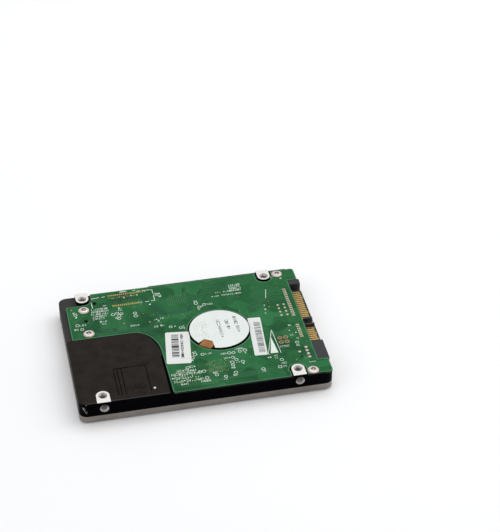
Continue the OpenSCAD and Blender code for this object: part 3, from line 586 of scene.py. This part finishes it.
# rows of parallel tracks, every other one dark in some of them
bm = bmesh.new()
for k in range(4):
    inset = 1.15 + 0.55 * k
    path = ([(-44.5 + 0.4 * k, 5.3 + inset)] + arc(-23.5, -9, 9.6 + inset, 14.3 + inset, 90, 8, 12)
            + [(-13.5 + inset + 0.1, -12 - 2.3 * k)])
    ribbon(bm, path, 0.16, Z0, TRACK_TOP, (k + 1) % 2)
for k in range(5):
    path = [(-37 + 1.6 * k, 11.6), (-33 + 1.2 * k, 8.8 + 0.35 * k), (-27 + k, 8.2 + 0.35 * k)]
    ribbon(bm, path, 0.13, Z0, TRACK_TOP)
for k in range(7):
    y = -31.9 + 0.42 * k
    path = [(-11 + 0.9 * k, y), (4 + 1.3 * k, y), (7 + 1.2 * k, y + 1.4), (20 + 1.3 * k, y + 1.4)]
    ribbon(bm, path, 0.13, Z0, TRACK_TOP)
for k in range(8):
    y = 25 + 0.6 * k
    path = [(-6 + 0.5 * k, 22 + 0.5 * k), (4 + 0.5 * k, 22 + 0.5 * k), (8 + 0.2 * k, y), (22, y)]
    ribbon(bm, path, 0.13, Z0, TRACK_TOP, k % 2)
for k in range(9):
    path = [(41.2, 20.4 - 1.27 * k), (37 - 0.1 * k, 20.4 - 0.95 * k), (31 - 0.2 * k, 15.5 - 0.5 * k),
            (25.4, 13.5 - 0.45 * k)]
    ribbon(bm, path, 0.13, Z0, TRACK_TOP, k % 2)
for k in range(6):
    y = -6.2 - 0.5 * k
    ribbon(bm, [(41.2, -3.6 - 1.27 * k), (38, -4.5 - 0.9 * k), (34, y), (30, y)], 0.13, Z0, TRACK_TOP)
piece("board_tracks", bm, ["track", "track_dark"])

# the dark band of parallel tracks that curves across towards the motor
bm = bmesh.new()
band = ([(-13.6, 20.9), (-11.6, 19.2)] + arc(-6.4, 19.2, 4.6, 4.8, 200, 265, 6) + [(-4.2, 14.6), (-2.2, 15.2)]
        + arc(-1.2, 17.4, 2.6, 2.2, -80, -20, 4) + [(2.6, 16.6)])
for k in range(6):
    ribbon(bm, shifted(band, -1.2 + 0.48 * k), 0.16 if k % 2 else 0.26, Z0, TRACK_TOP)
for k in range(4):
    ribbon(bm, shifted([(-37.6, 9.2), (-36, 8.2), (-33, 7.9), (-29, 8)], 0.5 * k), 0.2, Z0, TRACK_TOP)
ribbon(bm, [(-16.5, 25.5), (-14.6, 24), (-13.4, 21.4)], 0.5, Z0, RIPPLE_TOP)
piece("board_band", bm, "haze")
bm = bmesh.new()
for k in range(9):
    x = -6.2 + 0.95 * k
    path = [(x + 0.16 * math.sin(1.7 * j + k), 19.4 + 0.8 * j + 0.1 * k) for j in range(8 + k % 3)]
    ribbon(bm, path, 0.26, Z0, RIPPLE_TOP)
piece("board_ripples", bm, "ripple")

# ---- board: printed marks ----
silk = bmesh.new()

# width, height and offset of each stroke, as parts of its cell, where 0 stands for the pen's width;
# the strokes in a cell never touch, so none is drawn as a letter or a digit
STROKES = {
    "left": (0, 1, -0.3, 0), "middle": (0, 1, 0, 0), "right": (0, 1, 0.3, 0), "top": (0.75, 0, 0, 0.4),
    "waist": (0.75, 0, 0, 0), "foot": (0.75, 0, 0, -0.4), "block": (0.56, 0.5, 0, 0),
    "speck": (0.3, 0.3, 0, -0.3),
}
CELLS = (
    ("left", "right"), ("left", "middle", "right"), ("top", "foot"), ("top", "waist", "foot"), ("block",),
    ("middle",), ("left", "right"), ("block",), ("top", "foot"), ("speck",),
)


def ticks(x, y, count, cell=0.95, height=1.05, angle=0.0, bm=silk, z0=Z0, z1=Z1, pen=0.17):
    """A row of plain strokes in small cells, where the real board has its printed references."""
    for i in range(count):
        for key in rnd.choice(CELLS):
            w, h, ox, oy = STROKES[key]
            (px, py), = turn([(i * cell + ox * cell, oy * height)], angle)
            bar(bm, x + px, y + py, (w or pen) * cell, (h or pen) * height, z0, z1, angle)


# outline round the head connector, and the marks beside it
for p in ([(-37, 24.4), (-37, 28.2)], [(-36.8, 30.9), (-33.4, 31.3)], [(-32.4, 31.2), (-31, 31.3)],
          [(-17.6, 32.3), (-16.2, 32.4)], [(-15.4, 32.4), (-11.2, 32)], [(-11.2, 32), (-11.2, 29.4)],
          [(-11.2, 28.2), (-11.2, 24.6)], [(-11.2, 24.6), (-12.7, 24.6)], [(-13.7, 24.5), (-15.2, 24.4)],
          [(-32.6, 25.3), (-31.2, 25.3)],
          [(-24.8, 33), (-21.6, 33)], [(-24.4, 33.5), (-22.2, 33.5)], [(-19.2, 33.1), (-18, 33.1)]):
    ribbon(silk, p, 0.26, Z0, Z1)
ticks(-17.6, 24.6, 2, 0.9, 0.9)
ticks(-10.3, 29, 2, 1.0, 1.5, math.radians(-72))
ticks(-9, 28.8, 3, 1.0, 1.2, math.radians(-80))
bar(silk, -13.6, 22.3, 0.7, 0.6, Z0, Z1)
for row, (x, n) in enumerate(((-37.6, 7), (-37.4, 7), (-37.6, 7), (-37.4, 6), (-37.5, 5))):
    ticks(x, 23.5 - 1.55 * row, n, 1.02, 1.1)
ticks(-34.8, 15.1, 3, 1.05)
ticks(-34.2, 13.5, 2, 1.0, 0.9)
for x, y, n in ((-45, 22.8, 2), (-43.1, 14.3, 3), (-45.6, 11.9, 2), (-26.4, 22.4, 2), (-26.4, 21.2, 2),
                (-28.4, 16.2, 2), (-23.2, 9.8, 4), (-13.5, 12, 2), (-10.9, 12.2, 2), (-11.9, 10.9, 1),
                (-14, 7.3, 2), (-11.3, 7.6, 2), (-6, 5.9, 1), (-2.7, 5.2, 1), (-2.6, 4, 1)):
    ticks(x, y, n)
bar(silk, -44.3, 19.8, 0.7, 0.7, Z0, Z1, math.radians(45))
# two rows and three short rows near the connector end of the back edge, and the marks by the motor
for x, y, n in ((20.6, 28.1, 6), (20.4, 26.9, 6), (20.8, 25.7, 6), (14.4, 24.3, 3), (17.8, 24.4, 9),
                (12.4, 22, 4), (16.8, 22.2, 10), (4.6, 20.4, 2), (9.6, 17.4, 3), (5.4, 14.9, 1),
                (7.1, 16.6, 1)):
    ticks(x, y, n, 0.84, 1.0)
# the dense group by the front edge, under the barcode label
for x, y, n in ((-4.9, -20.5, 3), (-9.8, -22.1, 5), (-5.9, -22.6, 4), (-12.4, -24, 13), (-12.6, -26.1, 9),
                (-12.2, -28.2, 7), (-3.4, -28.4, 3), (-9.6, -30.2, 3), (-1.6, -30, 4)):
    ticks(x, y, n, 0.98, 1.1)
# marks round the rings between the motor and the front edge
for x, y, n in ((-2, -12, 2), (-3.1, -16.6, 1), (2.8, -13.9, 3), (3.7, -25.9, 2), (6.9, -30.4, 2),
                (8.8, -15.4, 3), (14.6, -13.5, 5), (9.6, -18.2, 3), (11.2, -21, 1), (13.7, -21.4, 2),
                (11.2, -24.5, 2), (11.2, -29, 2), (16.2, -22.8, 1), (18.2, -16.6, 1), (-2.6, -15.8, 1)):
    ticks(x, y, n, 0.9, 1.0)
# marks at the connector end
for x, y, n in ((32.2, 11.8, 1), (32, 9, 1), (31.6, 6.6, 1), (39, -3.2, 2), (38.4, -6.5, 1), (40.7, -8.2, 1),
                (38.2, -9.4, 2), (40.5, -11.9, 1), (39.3, -16.3, 2), (32.6, -15.8, 5), (26.4, -21.4, 2),
                (29.2, -20.8, 2), (29, -22.2, 2), (30.9, -25.8, 3), (31.2, -27.8, 2), (22.6, -28.9, 2),
                (36.2, 31.9, 2), (39, 30, 1)):
    ticks(x, y, n, 0.82, 0.95)
# thin printed lines, and a filled wedge
for p in ([(35.1, 22.2), (33.8, 16.4)], [(31.4, -4.6), (26.9, -19.3), (27.5, -19.8)],
          [(31.4, -4.6), (32, -19.5)], [(41.6, -27.4), (44.2, -27.4)]):
    ribbon(silk, p, 0.22, Z0, Z1)
prism(silk, [(27.9, -19), (30.2, -9.2), (31, -19.2)], Z0, Z1)

RINGS = [(-44.4, 14.5), (-42.9, 11.7), (-44.4, 21.4), (-29.4, 18.7), (-27.6, 19.3), (-26, 18.6), (-27, 17.4),
         (-27.3, 15.6), (-20.5, 17.9), (-20.5, 16), (-7.8, 5.9), (-3.9, 4.5), (5, 18.9), (8.2, 17.6),
         (5.9, 16.3), (-1.4, -13.4), (-2.7, -15), (1.5, -14), (11.9, -15.3), (13.6, -15.5), (16.2, -15.2),
         (18.3, -14.9), (12.8, -18.3), (13.9, -19.9), (12, -21.2), (16.1, -21.5), (11.9, -22.9),
         (12.1, -27.5), (4.6, -27.4), (7.8, -29), (0.5, -28.3), (-5.8, -20.8), (-1.5, -24.4), (0.1, -24.2),
         (39.7, -14.4), (31.3, -23.7), (29.7, -27.8), (23, -27.6)]
ring_centres = bmesh.new()
for k, (x, y) in enumerate(RINGS):
    r = 0.54 if k % 3 else 0.62
    ring(silk, x, y, r, r + 0.21, Z0, Z1)
    dot(ring_centres, x, y, 0.34, Z0, DOT_TOP, 12)
piece("board_print", silk, "silk")
piece("ring_centres", ring_centres, "track_dark")
bm = bmesh.new()
for x, y, r in ((-45.7, 25.2, 0.42), (-46.4, 19.6, 0.16), (-46.2, 22.3, 0.14), (-41.5, 19.9, 0.16),
                (34, 10.6, 0.3), (34.4, 14, 0.26)):
    dot(bm, x, y, r, Z0, DOT_TOP, 12)
piece("board_red_dots", bm, "dust")

# ---- board: pads, vias and holes ----
tin = bmesh.new()
for x in (37.6, 40.1):
    for y in (10.75, 8.5, 6.25, 3.9):
        bar(tin, x, y, 0.8, 1.0, Z0, TOP + 0.05)
for i in range(10):
    for j in range(4):
        if (i * 7 + j * 3) % 5:
            dot(tin, -11.6 + 0.95 * i + 0.2 * j, -23 - 1.95 * j, 0.26, Z0, TOP + 0.04, 8)
for x, y, r in ((-23.3, 28.9, 0.4), (-20.3, 29.9, 0.36), (-17.8, 29.8, 0.42), (-28, 29.4, 0.2),
                (-17.2, 23.4, 0.2), (-24.9, 30.2, 0.22)):
    dot(tin, x, y, r, Z0, TOP + 0.05, 10)
for i in range(11):
    bar(tin, -29.4 + 1.05 * i + 0.2 * math.sin(3 * i), 29.9 - 0.1 * (i % 3), 0.55, 0.2, Z0, Z1)
dot(tin, 39.3, -20.4, 0.6, Z0, TOP + 0.06)
dot(tin, 42.9, 28.4, 0.5, Z0, TOP + 0.05)
piece("board_pads", tin, "tin")

copper = bmesh.new()
for i in range(11):
    for j in range(9):
        if rnd.random() < 0.62:
            x = 1.4 + 0.82 * i + rnd.uniform(-0.1, 0.1)
            dot(copper, x, -18.9 - 0.84 * j, rnd.choice((0.14, 0.19, 0.22)), Z0, Z1, 8)
for x in (33.6, 36):
    for y in (-10.3, -13.1):
        ring(copper, x, y, 0.5, 1.0, Z0, TOP + 0.04)
for x, y, r in ((-17.2, 16.8, 0.3), (-15.4, 10.9, 0.45), (-25.8, 12, 0.4), (-20, 22, 0.3), (-19.7, 15.4, 0.3),
                (-13.2, 15.3, 0.25), (36.9, -25, 0.3)):
    dot(copper, x, y, r, Z0, Z1, 10)
# scattered vias, clear of the motor, the board's openings, the barcode label, the block of printed rows,
# the holes and the screws
for _ in range(150):
    x, y = rnd.uniform(-46, 44), rnd.uniform(-33, 33)
    clear = (math.hypot(x - SPINDLE, y) > 14.6 and not (x < -11.5 and y < 8) and not (x < -36 and y > 25)
             and not (-14.5 < x < 0 and -19 < y < 4) and not (-38 < x < -30 and 15 < y < 25)
             and min(math.dist((x, y), hole) for hole in HOLES) > 4.6
             and min(math.dist((x, y), screw) for screw in BOARD_SCREWS) > 3)
    if clear:
        dot(copper, x, y, rnd.choice((0.13, 0.16, 0.2)), Z0, DOT_TOP, 8)
piece("board_vias", copper, "ring_copper")

# dark marks by the head connector: painted shade that stands for holes
dark = bmesh.new()
for i in range(17):
    bar(dark, -29 + 0.69 * i, 28.1 + 0.25 * (i % 2), 0.46, 1.1, Z0, DARK_TOP)
for i in range(16):
    if i % 5 != 3:
        bar(dark, -33.6 + 1.25 * i, 26.5 + 0.3 * (i % 2), 0.7, 0.7, Z0, DARK_TOP)
for x, y, r in ((-32.2, 27.2, 0.3), (-33.2, 25.4, 0.55), (-32.3, 23.9, 0.35), (-16, 27.9, 0.4),
                (-14.6, 25.9, 0.5)):
    dot(dark, x, y, r, Z0, DARK_TOP, 10)
piece("board_painted_hole_shade", dark, "hole")

# the connector's contacts, a long row and a short one, and its four jumper pins
CENTRE, REACH, PITCH = 4.8, 15.875, 1.27
contacts = [CENTRE + REACH - PITCH * i for i in range(15)] + [CENTRE - REACH + PITCH * i for i in range(7)]
solder = bmesh.new()
pads = bmesh.new()
jumper_rings = bmesh.new()
for y in contacts:
    bar(pads, 42.45, y, 1.35, 0.8, Z0, Z1)
    dome(solder, 42.45, y, 0.36, Z1, 0.18, 12, 1.6)
for i in range(4):
    y = -18.15 - 2.03 * i
    ring(jumper_rings, 42.4, y, 0.5, 0.7, Z0, Z1, 18)
    dome(solder, 42.4, y, 0.56, Z1, 0.4)
piece("board_solder_pads", pads, "tin")
piece("jumper_rings", jumper_rings, "blush")
piece("board_solder", solder, "solder", smooth=True)


# ---- screws ----
SOCKET, RIM = 1.04, 2.1  # the socket's mouth and the rim, on the scale of the loops below
LOOPS = (0.3, 0.55, 0.8, 0.96, SOCKET, 1.3, 1.7, RIM)


def screw_head(bm, x, y, z, r, height, socket, sign, angle, n=72):
    """A low domed head with a six-lobed socket, as loops of vertices, closed underneath."""
    rows = []
    for q in LOOPS:
        row = []
        for i in range(n):
            t = 2 * math.pi * i / n
            lobe = socket * (1 + 0.13 * math.cos(6 * (t - angle)))
            rad = lobe * q
            if q > SOCKET:
                rad = lobe * SOCKET + (r * 0.9 - lobe * SOCKET) * (q - SOCKET) / (RIM - SOCKET)
            crown = height * (1 - 0.34 * (rad / r) ** 2)
            zz = crown if q > 1 else crown - height * (0.6 if q > 0.5 else 0.42)
            row.append(bm.verts.new((x + rad * math.cos(t), y + rad * math.sin(t), z + sign * zz)))
        rows.append(row)
    tip = bm.verts.new((x, y, z + sign * height * 0.7))
    for rad, zz in ((r * 0.97, 0.5 * height), (r, 0.25 * height), (r, 0)):
        rows.append(level(bm, circle(x, y, rad, n), z + sign * zz))
    for i in range(n):
        bm.faces.new((tip, rows[0][i], rows[0][(i + 1) % n]))
    # the socket's faces take the darker metal: painted shade
    for face in skin(bm, rows)[:LOOPS.index(SOCKET) * n]:
        face.material_index = 1
    bm.faces.new(rows[-1][::-1])


def screws(node, name, seats, r, height, socket, down):
    """New screws for a CAD node: heads at seats, and shanks that end about where the node's do."""
    bm = bmesh.new()
    low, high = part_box(node)
    for k, (x, y, z) in enumerate(seats):
        screw_head(bm, x, y, z, r, height, socket, -1 if down else 1, 0.35 * k)
        dot(bm, x, y, 0.78, *((z + 0.01, high.z / MM - 0.1) if down else (low.z / MM, z - 0.01)), 24)
    obj = piece(name, bm, ["screw", "socket"])
    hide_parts(node)


screws("pcb_screws", "torx_board_screws", [(x, y, TOP) for x, y in BOARD_SCREWS], 1.8, 0.5, 1.0, False)
RIM_SCREWS = [(x, y, 0.77) for x, y in ((-46, -31), (-46, 31), (-1.5, -32.4), (-1.5, 32.4), (44.5, -30.5),
                                        (44.5, 30.5))]
PIVOT_SCREW = (-28, -3, 0.45)
screws("cover_screws", "torx_cover_screws", RIM_SCREWS + [PIVOT_SCREW], 1.75, 0.36, 0.75, True)

bm = bmesh.new()
for x, y in BOARD_SCREWS:
    ring(bm, x, y, 1.2, 2.2, Z0, Z1, 32)
piece("screw_ground_rings", bm, "blush")

# ---- head flex: a loose loop from its bracket to the arm ----
FLEX = [Vector(p) for p in ((-33.2, 0.35), (-37.5, 4.4), (-40, 15), (-28.1, 19.05))]


def bezier(a, b, c, d, n):
    """Points along a cubic curve from a to d."""
    for i in range(n + 1):
        t = i / n
        yield a * (1 - t) ** 3 + b * 3 * t * (1 - t) ** 2 + c * 3 * t * t * (1 - t) + d * t ** 3


bm = bmesh.new()
low, high = (c.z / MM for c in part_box("head_flex"))
path = [tuple(p) for p in bezier(*FLEX, 40)]
rows = [[bm.verts.new(v) for v in ((ax, ay, low), (ax, ay, high), (bx, by, high), (bx, by, low))]
        for (ax, ay), (bx, by) in zip(shifted(path, 0.07), shifted(path, -0.07))]
skin(bm, rows)
bm.faces.new(rows[0])
bm.faces.new(rows[-1][::-1])
flex = piece("head_flex_ribbon", bm, "head_flex", body=None)
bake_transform(flex)
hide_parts("head_flex")


# ---- threads in the mounting holes ----
def thread(bm, axis, mouth, n=32):
    """Thread crests just inside a tapped bore, as closed loops; axis points out of its mouth."""
    across = axis.orthogonal().normalized()
    basis = Matrix((across, axis.cross(across), axis)).transposed()
    for z in (-0.75, -1.25, -1.75, -2.25):
        rows = []
        for r, dz in ((1.245, 0.17), (1.13, 0.04), (1.13, -0.04), (1.245, -0.17)):
            rows.append([bm.verts.new(mouth + basis @ Vector((*p, z + dz))) for p in circle(0, 0, r, n)])
        skin(bm, rows, closed=True)


bm = bmesh.new()
for x, y in HOLES:
    side = math.copysign(1, y)
    thread(bm, Vector((0, 0, 1)), Vector((x, y, BOSS)))
    thread(bm, Vector((0, side, 0)), Vector((x, side * SIDE_Y, BOSS - SIDE_DROP)))
piece("mount_threads", bm, "bore", smooth=True)

# ---- labels ----
LABEL_TURN = math.radians(-7.7)


def on_label(x, y):
    """A place on the barcode label, measured from its middle along its sides."""
    return turn([(x, y)], LABEL_TURN, -7.2, -7.85)[0]


bm = bmesh.new()
at = 8.3
for wide, gap in ((0.22, 0.3), (0.3, 0.34), (0.22, 0.3), (0.3, 0.55), (1.0, 0.3), (0.3, 0.34), (0.6, 0.6),
                  (0.3, 0.3), (0.3, 0.34), (1.5, 0.34), (0.3, 0.3), (0.5, 0.34), (0.3, 0.6), (0.9, 0.34),
                  (0.3, 0.34), (0.7, 0.3), (0.22, 0.3)):
    px, py = on_label(-1.1, at - wide / 2)
    bar(bm, px, py, 2.9, wide, *LABEL_INK, LABEL_TURN)
    at -= wide + gap
for i in range(15):
    ticks(*on_label(1.6, 7.9 - 1.02 * i), 1, 1.2, 1.0, LABEL_TURN - math.pi / 2, bm, *LABEL_INK, pen=0.27)
piece("barcode_bars", bm, "print")

bm = bmesh.new()
for x, y, n in ((11.3, 5.6, 11), (14.7, 4.7, 3), (14.9, 0.6, 2), (18.3, 6.2, 5), (18.5, 0.1, 4)):
    ticks(x, y, n, 1.08, 1.35, -math.pi / 2, bm, *STICKER_INK, pen=0.22)
piece("sticker_marks", bm, "faint_print")
# embossed marks on the sticker's left part; their pale green paints a reflection
bm = bmesh.new()
for row in range(9):
    for i in range(5):
        x, y = 1.2 + 1.15 * i, 5.4 - 1.2 * row
        if math.hypot(x - SPINDLE, y) < 11.6 and rnd.random() < 0.8:
            bar(bm, x, y, 0.6, 0.2, *STICKER_EMBOSS, rnd.choice((0, 0.3, -0.4)))
for start in range(100, 244, 24):
    ribbon(bm, arc(7.2, 0.4, 3.1, 3.6, start, start + 16, 4), 0.2, *STICKER_EMBOSS)
piece("sticker_emboss", bm, "emboss")

SIDE_LABEL = (25.1, -7.4)
SIDE_TURN = math.radians(-5)
bm = bmesh.new()
sheet = [(-2.3, -12), (2.3, -12), (2.6, -11.7), (2.6, 11.7), (2.3, 12), (-2.3, 12), (-2.6, 11.7),
         (-2.6, -11.7)]
prism(bm, turn(sheet, SIDE_TURN, *SIDE_LABEL), Z0, TOP + 0.07)
piece("side_label", bm, "paper")
bm = bmesh.new()
at = 8.8
while at > -10.4:
    wide = rnd.choice((0.2, 0.3, 0.5))
    px, py = turn([(0.7, at)], SIDE_TURN, *SIDE_LABEL)[0]
    bar(bm, px, py, 2.6, wide, TOP + 0.071, TOP + 0.082, SIDE_TURN)
    at -= wide + rnd.choice((0.3, 0.4, 0.55))
piece("side_label_bars", bm, "print")

# ---- the small bright pip on the raised housing ----
bm = bmesh.new()
dot(bm, -20.3, -30.5, 0.46, BOSS - 0.05, BOSS - 0.005, 16)
piece("housing_pip", bm, "bare")

# ---- specks in the engraved panel ----
bm = bmesh.new()
for _ in range(90):
    x, y = rnd.gauss(-26.6, 2.3), rnd.gauss(-28.6, 1.7)
    if -30.8 < x < -22.4 and -31.6 < y < -24:
        bar(bm, x, y, rnd.uniform(0.14, 0.46), rnd.uniform(0.12, 0.34), *HOUSING_FILM, rnd.uniform(0, 3))
piece("engraved_specks", bm, "engraved")

# ---- the housing's front edge, on both sides of the mounting pad: a lighter strip of painted highlight along it ----
bm = bmesh.new()
for ax, bx in ((-46.6, -43.3), (-37.7, -15)):
    ribbon(bm, [(ax, -34.58), (bx, -34.58)], 0.5, *HOUSING_FILM)
piece("housing_edge_painted_highlight", bm, "worn")

# ---- bright marks on the casting's front left corner: partly scuffs in the coating, partly painted highlight of the rounded corner's reflection ----
bm = bmesh.new()
for a, z, long, tilt in ((236, 7.6, 0.7, -0.9), (240, 7.0, 1.0, -1.1), (243, 7.3, 0.5, 0.4),
                         (248, 6.3, 0.9, -1.2), (254, 5.7, 0.8, -1), (252, 7.2, 0.4, -0.2),
                         (259, 5.2, 0.9, -1.2), (262, 9.1, 0.5, 0.3), (263, 5.9, 0.4, -0.8),
                         (246, 7.9, 0.4, 0.6)):
    t = math.radians(a)
    out = Vector((math.cos(t), math.sin(t), 0))
    along = Vector((-math.sin(t), math.cos(t), 0)) * math.cos(tilt) + Vector((0, 0, 1)) * math.sin(tilt)
    wide = out.cross(along)
    # just outside the corner's face, which stands 0.05 mm further in above z = 7.75
    middle = Vector((-46.9, -31.725, z)) + out * (3.155 if z > 7.75 else 3.205)
    corners = [middle + along * u * long / 2 + wide * v * 0.09
               for u, v in ((-1, -1), (1, -0.4), (1, 0.4), (-1, 1))]
    low = [bm.verts.new(c - out * 0.02) for c in corners]
    high = [bm.verts.new(c) for c in corners]
    bm.faces.new(low)
    bm.faces.new(high[::-1])
    for i in range(4):
        bm.faces.new((low[i], high[i], high[(i + 1) % 4], low[(i + 1) % 4]))
piece("corner_scuffs_and_painted_glints", bm, "bore")

# ---- cover label's generic print, on the underside ----
bm = bmesh.new()
for y, x, n, cell, height in ((20.5, -17, 12, 2.2, 2.4), (16, -17, 24, 1.15, 1.1), (13.6, -17, 18, 1.15, 1.1),
                              (-6, -17, 30, 1.1, 1.0), (-8.4, -17, 26, 1.1, 1.0), (-10.8, -17, 28, 1.1, 1.0),
                              (-22.6, 8, 22, 1.1, 1.0)):
    ticks(x, y, n, cell, height, 0.0, bm, *UNDER_INK)
at = -16.0
while at < 18:
    wide = rnd.choice((0.25, 0.4, 0.6))
    bar(bm, at + wide / 2, 5, wide, 7, *UNDER_INK)
    at += wide + rnd.choice((0.3, 0.45, 0.7))
for y in (11, -1.6, -13.6):
    bar(bm, 8.2, y, 52, 0.3, *UNDER_INK)
loop_ribbon(bm, [(24, 14), (35, 14), (35, 25), (24, 25)], 0.5, *UNDER_INK)
for i in range(8):
    for j in range(8):
        if rnd.random() < 0.5:
            bar(bm, 25.6 + 1.1 * i, 15.7 + 1.1 * j, 1.0, 1.0, *UNDER_INK)
piece("cover_label_print", bm, "print")

# ---- floor, a hair under the part ----
mesh = bpy.data.meshes.new("floor")
bm = bmesh.new()
bmesh.ops.create_grid(bm, x_segments=1, y_segments=1, size=6)
bm.to_mesh(mesh)
bm.free()
s = Shader("floor_paper", Specular_IOR_Level=0.2)
s.to("Base Color", s.ramp(s.noise(3, 2), (0.3, srgb(250, 250, 250)), (0.7, srgb(252, 252, 252))))
s.to("Roughness", s.spread(s.noise(40, 2), 0.75, 0.9))
mesh.materials.append(s.mat)
floor = bpy.data.objects.new("floor", mesh)
floor.location.z = -0.00002
bpy.context.collection.objects.link(floor)
